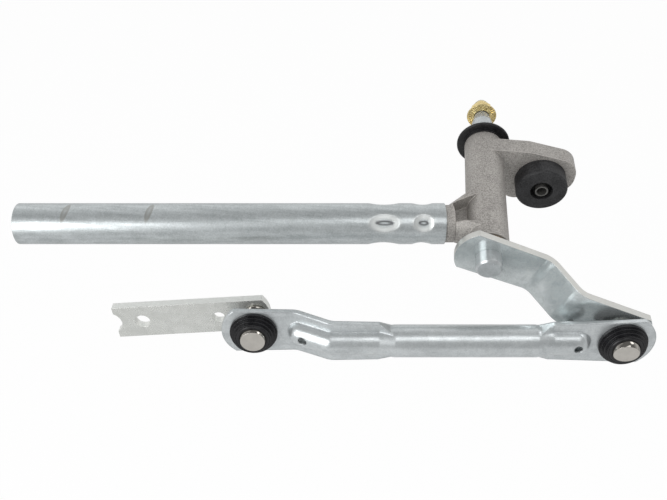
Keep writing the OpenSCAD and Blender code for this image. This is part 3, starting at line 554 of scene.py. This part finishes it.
def sheared_plate(material, face, tint, rough):
    """Tints the sheared edges of a plated plate whose faces look along face."""
    tree = material.node_tree
    shader = tree.nodes["Principled BSDF"]
    place = next(n for n in tree.nodes if n.type == "TEX_COORD")
    mask = put(tree, "ShaderNodeGroup", node_tree=sheared_edge)
    mask.inputs["Face"].default_value = face
    streaks = put(tree, "ShaderNodeTexNoise", {"Scale": 700.0, "Detail": 2.0})
    uneven = put(tree, "ShaderNodeMapRange", {"To Min": 0.45, "To Max": 1.0}, clamp=True)
    amount = put(tree, "ShaderNodeMath", operation="MULTIPLY")
    colour = put(tree, "ShaderNodeMix", {"B": (*tint, 1.0)}, data_type="RGBA")
    dull = put(tree, "ShaderNodeMix", {"B": rough}, data_type="FLOAT")
    join(tree,
         (place.outputs["Normal"], mask.inputs["Direction"]),
         (place.outputs["Object"], streaks.inputs["Vector"]),
         (streaks.outputs["Fac"], uneven.inputs["Value"]), (uneven.outputs["Result"], amount.inputs[0]),
         (mask.outputs["Edge"], amount.inputs[1]), (amount.outputs["Value"], colour.inputs["Factor"]),
         (shader.inputs["Base Color"].links[0].from_socket, colour.inputs["A"]),
         (amount.outputs["Value"], dull.inputs["Factor"]),
         (shader.inputs["Roughness"].links[0].from_socket, dull.inputs["A"]))
    join(tree,
         (colour.outputs["Result"], shader.inputs["Base Color"]),
         (dull.outputs["Result"], shader.inputs["Roughness"]))
    return material


shaft_axis = (0.0, 1.0, 0.0)
lever_turn = (0.0, math.radians(-20.0), 0.0)
dress(sheared_plate(
    plated_steel("lever_zinc", dark=(0.46, 0.50, 0.505), light=(0.72, 0.765, 0.77),
                 rough=(0.14, 0.24), crystals=300.0, clouds=55.0, grain=0.07,
                 turn=lever_turn, streaks=0.2, metal=0.8),
    face=shaft_axis, tint=(0.54, 0.525, 0.49), rough=0.36), "crank_lever")


# Shaft seals, upper washer and retaining ring
# Black rubber ring and cap that keep water out of the upper bush, pushed over the sleeve's outer end.
# Below them a plated washer and a spring ring in the shaft's groove hold the shaft in the sleeve.

dress(black_moulding("cap_rubber", dark=(0.004, 0.004, 0.005), light=(0.014, 0.014, 0.015),
                     rough=(0.32, 0.48)),
      "shaft_seal_ring", "shaft_seal_cap")
dress(plated_steel("ring_zinc", dark=(0.30, 0.31, 0.32), light=(0.46, 0.48, 0.49),
                   rough=(0.25, 0.4), crystals=600.0, clouds=120.0, grain=0.1, edge=0.0002),
      "upper_thrust_washer", "shaft_retaining_ring")


# Wiper arm nut
# M8 flange nut in yellow-passivated zinc, run on to the shaft's thread over the cone.
# The underside of its flange is serrated to bite into the wiper arm.

nut_zinc = plated_steel(
    "yellow_zinc", dark=(0.42, 0.29, 0.08), light=(1.0, 0.86, 0.48), rough=(0.12, 0.24),
    crystals=900.0, clouds=260.0, grain=0.2, metal=0.92)
dress(nut_zinc, "wiper_arm_nut")
flange_low = 0.0306
grow("nut_serration", ridge_ring("serration_ring", nut_zinc), {
    "Count": 30,
    "Size": (0.0008, 0.0006, 0.0030),
    "Roll": 0.0,
    "Lean": 0.0,
    "Radius": 0.0085,
    "Centre": (shaft_x, flange_low, shaft_z),
}, "crank")


# Ball studs
# Turned steel balls on a neck, nickel-plated, riveted into the lever and into the drive link.
# The ball is polished, and the flat on its end keeps fine rings from the lathe.

def turned_flat_group():
    """Rings round an axis as a height, and 1 on the flat that looks along the axis."""
    tree, given, result = shader_group(
        "turned_flat",
        [("Place", "vector", None), ("Direction", "vector", None),
         ("Centre", "vector", None), ("Axis", "vector", None)],
        [("Rings", "value"), ("Flat", "value")])
    ring_pitch = 0.00055
    arm = put(tree, "ShaderNodeVectorMath", operation="SUBTRACT")
    across = put(tree, "ShaderNodeVectorMath", operation="CROSS_PRODUCT")
    radius = put(tree, "ShaderNodeVectorMath", operation="LENGTH")
    count = put(tree, "ShaderNodeMath", operation="MULTIPLY")
    count.inputs[1].default_value = math.tau / ring_pitch
    wave = put(tree, "ShaderNodeMath", operation="SINE")
    facing = put(tree, "ShaderNodeVectorMath", operation="DOT_PRODUCT")
    size = put(tree, "ShaderNodeMath", operation="ABSOLUTE")
    flat = put(tree, "ShaderNodeMapRange", {"From Min": 0.96, "From Max": 0.99}, clamp=True)
    join(tree,
         (given.outputs["Place"], arm.inputs[0]), (given.outputs["Centre"], arm.inputs[1]),
         (arm.outputs["Vector"], across.inputs[0]), (given.outputs["Axis"], across.inputs[1]),
         (across.outputs["Vector"], radius.inputs[0]), (radius.outputs["Value"], count.inputs[0]),
         (count.outputs["Value"], wave.inputs[0]), (wave.outputs["Value"], result.inputs["Rings"]),
         (given.outputs["Direction"], facing.inputs[0]), (given.outputs["Axis"], facing.inputs[1]),
         (facing.outputs["Value"], size.inputs[0]), (size.outputs["Value"], flat.inputs["Value"]),
         (flat.outputs["Result"], result.inputs["Flat"]))
    return tree


turned_flat = turned_flat_group()


def polished_stud(name, centre, axis):
    """Polished nickel with a lathe-turned flat round this axis; the flat is painted far paler than the ball,
    as painted light.
    """
    material, tree, shader, place = new_material(name)
    shader.inputs["Metallic"].default_value = 1.0
    turned = put(tree, "ShaderNodeGroup", node_tree=turned_flat)
    turned.inputs["Centre"].default_value = centre
    turned.inputs["Axis"].default_value = axis
    stain = put(tree, "ShaderNodeTexNoise", {"Scale": 300.0, "Detail": 4.0})
    # The flat's tones are a lit copy of the ball's nickel: painted light on the flat.
    ball_tone, lit_flat_dark, lit_flat_light = (0.33, 0.315, 0.29), (0.56, 0.54, 0.50), (0.74, 0.71, 0.66)
    bright = put(tree, "ShaderNodeMix",
                 {"A": (*lit_flat_dark, 1.0), "B": (*lit_flat_light, 1.0)}, data_type="RGBA")
    colour = put(tree, "ShaderNodeMix", {"A": (*ball_tone, 1.0)}, data_type="RGBA")
    gloss = put(tree, "ShaderNodeMix", {"A": 0.08, "B": 0.34}, data_type="FLOAT")
    amount = put(tree, "ShaderNodeMath", operation="MULTIPLY")
    rounded = put(tree, "ShaderNodeBevel", {"Radius": 0.0004}, samples=6)
    relief = put(tree, "ShaderNodeBump", {"Strength": 0.25, "Distance": 0.0001})
    join(tree,
         (place.outputs["Object"], turned.inputs["Place"]),
         (place.outputs["Normal"], turned.inputs["Direction"]),
         (place.outputs["Object"], stain.inputs["Vector"]),
         (stain.outputs["Fac"], bright.inputs["Factor"]),
         (bright.outputs["Result"], colour.inputs["B"]),
         (turned.outputs["Flat"], colour.inputs["Factor"]),
         (colour.outputs["Result"], shader.inputs["Base Color"]),
         (turned.outputs["Flat"], gloss.inputs["Factor"]),
         (gloss.outputs["Result"], shader.inputs["Roughness"]),
         (turned.outputs["Rings"], amount.inputs[0]), (turned.outputs["Flat"], amount.inputs[1]),
         (amount.outputs["Value"], relief.inputs["Height"]),
         (rounded.outputs["Normal"], relief.inputs["Normal"]),
         (relief.outputs["Normal"], shader.inputs["Normal"]))
    return material


crank_ball = (0.0423136, -0.1404, -0.0198137)
drive_ball = (-0.171438, -0.154274, -0.021789)
rod_axis = (-0.105639, 0.972427, -0.207912)
dress(polished_stud("crank_stud_nickel", crank_ball, shaft_axis), "crank_ball_stud")
dress(polished_stud("drive_stud_nickel", drive_ball, rod_axis), "drive_ball_stud")


# Connecting rod
# Steel tube pressed flat at both ends, with ridges left standing in the flats, zinc-plated.
# It hangs on the two ball studs and passes the drive link's motion on to the crank lever.

rod_turn = (0.0, 0.0, -tube_splay)
dress(plated_steel("rod_zinc", dark=(0.45, 0.48, 0.49), light=(0.74, 0.775, 0.785),
                   rough=(0.27, 0.38), crystals=340.0, clouds=60.0, grain=0.1,
                   turn=rod_turn, edge=0.0014, metal=0.75), "connecting_rod")


# Ball sockets and seals
# Black moulded bearing shells snapped into the rod's flats, which grip the balls.
# Each has a glossy ringed rubber seal in front that keeps the grease in.

dress(black_moulding("socket_plastic", dark=(0.006, 0.006, 0.007), light=(0.014, 0.014, 0.016),
                     rough=(0.28, 0.4)),
      "crank_ball_socket", "drive_ball_socket")
dress(black_moulding("seal_rubber", dark=(0.005, 0.005, 0.006), light=(0.015, 0.015, 0.017),
                     rough=(0.2, 0.34), grain=0.4),
      "crank_socket_seal", "drive_socket_seal")


# Drive link
# Flat bar blanked from steel plate, with two holes and a half-round notch, zinc with a warm tint.
# It bolts to the motor's crank and carries the drive ball's stud, riveted through it.

# The link's sheared edges are tinted far paler than its faces: a painted highlight along its edges.
dress(sheared_plate(
    plated_steel("link_zinc", dark=(0.51, 0.522, 0.498), light=(0.69, 0.702, 0.678),
                 rough=(0.22, 0.34), crystals=280.0, clouds=45.0, grain=0.08,
                 turn=rod_turn, streaks=0.2),
    face=rod_axis, tint=(0.90, 0.91, 0.88), rough=0.4), "drive_link")


# Floor, light and camera
# Plain pale floor below the lowest point that the swinging rod reaches, with four soft boxes, in a room that
# mirrored rays see dimmer in front and overhead. The camera stands where the photograph was taken from.

reach = 6.0
rod_drop = 0.255
floor_z = cad_box[0][2] - rod_drop
floor_mesh = bpy.data.meshes.new("floor")
floor_mesh.from_pydata(
    [(-reach, -reach, floor_z), (reach, -reach, floor_z),
     (reach, reach, floor_z), (-reach, reach, floor_z)],
    [], [(0, 1, 2, 3)])
floor = bpy.data.objects.new("floor", floor_mesh)
bpy.context.scene.collection.objects.link(floor)


def straight_seen(tree):
    """1 for rays from the camera and for mirrored or refracted ones, 0 for scattered light."""
    path = put(tree, "ShaderNodeLightPath")
    first = put(tree, "ShaderNodeMath", operation="MAXIMUM")
    both = put(tree, "ShaderNodeMath", operation="MAXIMUM")
    join(tree,
         (path.outputs["Is Camera Ray"], first.inputs[0]),
         (path.outputs["Is Glossy Ray"], first.inputs[1]),
         (first.outputs["Value"], both.inputs[0]), (path.outputs["Is Transmission Ray"], both.inputs[1]))
    return both.outputs["Value"]


glow_share, mirrored_glow = 0.95, 0.64
floor_paint, floor_tree, matt, _ = new_material("floor_white")
matt.inputs["Base Color"].default_value = (0.8, 0.8, 0.8, 1.0)
matt.inputs["Roughness"].default_value = 1.0
white = put(floor_tree, "ShaderNodeEmission", {"Color": (1.0, 1.0, 1.0, 1.0)})
share = put(floor_tree, "ShaderNodeMath", operation="MULTIPLY")
share.inputs[1].default_value = glow_share
floor_blend = put(floor_tree, "ShaderNodeMixShader")
floor_path = put(floor_tree, "ShaderNodeLightPath")
mirrored = put(floor_tree, "ShaderNodeMapRange", {"To Min": 1.0, "To Max": mirrored_glow})
join(floor_tree,
     (floor_path.outputs["Is Glossy Ray"], mirrored.inputs["Value"]),
     (mirrored.outputs["Result"], white.inputs["Strength"]),
     (straight_seen(floor_tree), share.inputs[0]), (share.outputs["Value"], floor_blend.inputs["Fac"]),
     (matt.outputs["BSDF"], floor_blend.inputs[1]), (white.outputs["Emission"], floor_blend.inputs[2]),
     (floor_blend.outputs["Shader"], floor_tree.nodes["Material Output"].inputs["Surface"]))
floor_mesh.materials.append(floor_paint)

room_level, front_level = 0.7, 0.28
front_and_up = (0.0, -0.5, 0.866)
world = bpy.data.worlds.new("studio")
bpy.context.scene.world = world
world.use_nodes = True
world_tree = world.node_tree
room = world_tree.nodes["Background"]
room.inputs["Color"].default_value = (1.0, 1.0, 1.0, 1.0)
room.inputs["Strength"].default_value = room_level
clear = put(world_tree, "ShaderNodeBackground", {"Color": (1.0, 1.0, 1.0, 1.0)})
sky = put(world_tree, "ShaderNodeTexCoord")
toward = put(world_tree, "ShaderNodeVectorMath", operation="DOT_PRODUCT")
toward.inputs[1].default_value = front_and_up
dim_front = put(world_tree, "ShaderNodeMapRange",
                {"From Min": 0.1, "From Max": 0.6, "To Min": 1.0, "To Max": front_level})
world_path = put(world_tree, "ShaderNodeLightPath")
seen = put(world_tree, "ShaderNodeMix", {"B": 1.0}, data_type="FLOAT")
world_blend = put(world_tree, "ShaderNodeMixShader")
join(world_tree,
     (sky.outputs["Generated"], toward.inputs[0]), (toward.outputs["Value"], dim_front.inputs["Value"]),
     (world_path.outputs["Is Camera Ray"], seen.inputs["Factor"]),
     (dim_front.outputs["Result"], seen.inputs["A"]), (seen.outputs["Result"], clear.inputs["Strength"]),
     (straight_seen(world_tree), world_blend.inputs["Fac"]),
     (room.outputs["Background"], world_blend.inputs[1]),
     (clear.outputs["Background"], world_blend.inputs[2]),
     (world_blend.outputs["Shader"], world_tree.nodes["World Output"].inputs["Surface"]))


def soft_lamp(name, place, aim, size, power):
    """A soft box that looks from place to aim."""
    lamp = bpy.data.lights.new(name, "AREA")
    lamp.shape = "RECTANGLE"
    lamp.size, lamp.size_y = size
    lamp.energy = power
    holder = bpy.data.objects.new(name, lamp)
    bpy.context.scene.collection.objects.link(holder)
    x, y, z = [a - p for a, p in zip(aim, place)]
    holder.location = place
    holder.rotation_euler = (math.atan2(math.hypot(x, y), -z), 0.0, math.atan2(-x, y))


soft_lamp("front_box", (-0.72, -0.88, 0.45), (-0.25, -0.05, 0.0), (0.56, 0.76), 6.2)
soft_lamp("camera_box", (0.10, -0.37, 0.64), (-0.02, -0.12, 0.0), (0.5, 0.24), 0.8)
soft_lamp("left_box", (-0.60, 0.22, 0.70), (-0.05, -0.08, 0.0), (0.36, 0.36), 0.15)
soft_lamp("right_box", (0.60, 0.24, 0.76), (-0.05, -0.08, 0.0), (0.36, 0.36), 1.2)

focal_pixels, photo_width, sensor_mm = 720.0, 667.0, 36.0
camera = bpy.data.cameras.new("camera")
camera.sensor_fit = "HORIZONTAL"
camera.sensor_width = sensor_mm
camera.lens = focal_pixels / photo_width * sensor_mm
camera.clip_start = 0.01
tripod = bpy.data.objects.new("camera", camera)
bpy.context.scene.collection.objects.link(tripod)
tripod.location = (-0.0981, -0.39465, 0.3215)
tripod.rotation_euler = (math.radians(42.673), 0.0, math.radians(6.2055))
bpy.context.scene.camera = tripod
bpy.context.scene.view_settings.view_transform = "Standard"
